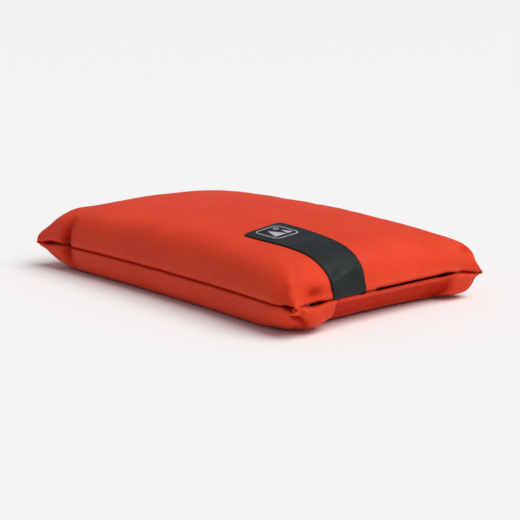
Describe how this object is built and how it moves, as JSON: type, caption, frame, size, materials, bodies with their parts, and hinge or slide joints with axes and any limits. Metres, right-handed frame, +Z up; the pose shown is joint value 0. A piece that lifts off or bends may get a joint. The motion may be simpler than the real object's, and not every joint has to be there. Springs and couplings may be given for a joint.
{
  "type": "foam sleeping pad",
  "caption": "Compact foam pad in a knife-edged fabric cover, with a concealed zip along one short side and a webbing band sewn over the crown.",
  "frame": {"origin": "on the ground under the middle of the pad", "axes": "+X along the length towards the zip side, +Y across the width away from the band, +Z up"},
  "size_m": [0.4, 0.244, 0.0751],
  "materials": {
    "cover_fabric": "coated plain-weave polyester, soft satin, orange-red",
    "band_webbing": "ribbed charcoal webbing",
    "foam": "open-cell foam, pale yellow",
    "fibre": "loose polyester fibre, white",
    "cover_thread": "twisted dark red thread",
    "band_thread": "twisted black thread",
    "zip_tape": "woven red tape, a shade darker than the cover",
    "zip_facing": "cover fabric, orange-red",
    "zip_plastic": "moulded nylon, dark red",
    "slider_metal": "dark red lacquer, worn at the edges",
    "pin_steel": "plain steel wire",
    "emblem_print": "pale grey printed ink"
  },
  "bodies": {
    "pad": {"foam_core": "foam", "fibre_fill_top": "fibre", "fibre_fill_bottom": "fibre", "top_panel": "cover_fabric", "bottom_panel": "cover_fabric", "seam_thread": "cover_thread", "zip_tape_upper": "zip_tape", "zip_tape_lower": "zip_tape", "zip_teeth_upper": "zip_plastic", "zip_teeth_lower": "zip_plastic", "zip_top_stops": "zip_plastic", "zip_bottom_stop": "zip_plastic", "zip_facing_upper": "zip_facing", "zip_facing_lower": "zip_facing", "zip_stitches_upper": "cover_thread", "zip_stitches_lower": "cover_thread", "zip_end_tacks": "cover_thread", "webbing_band": "band_webbing", "band_stitches": "band_thread", "band_emblem": "emblem_print"},
    "slider": {"zip_slider": "slider_metal", "zip_slider_pin": "pin_steel"},
    "pull": {"zip_pull": "slider_metal"}
  },
  "joints": [
    {"name": "zip_slide", "type": "slide", "parent": "pad", "child": "slider", "axis": [0, 1, 0], "range_m": [0, 0.165], "deforming": ["zip_teeth_upper", "zip_teeth_lower"]},
    {"name": "pull_flip", "type": "hinge", "parent": "slider", "child": "pull", "pos_m": [0.1895, -0.088, 0.028], "axis": [0, 0, -1], "range_deg": [0, 135]}
  ]
}
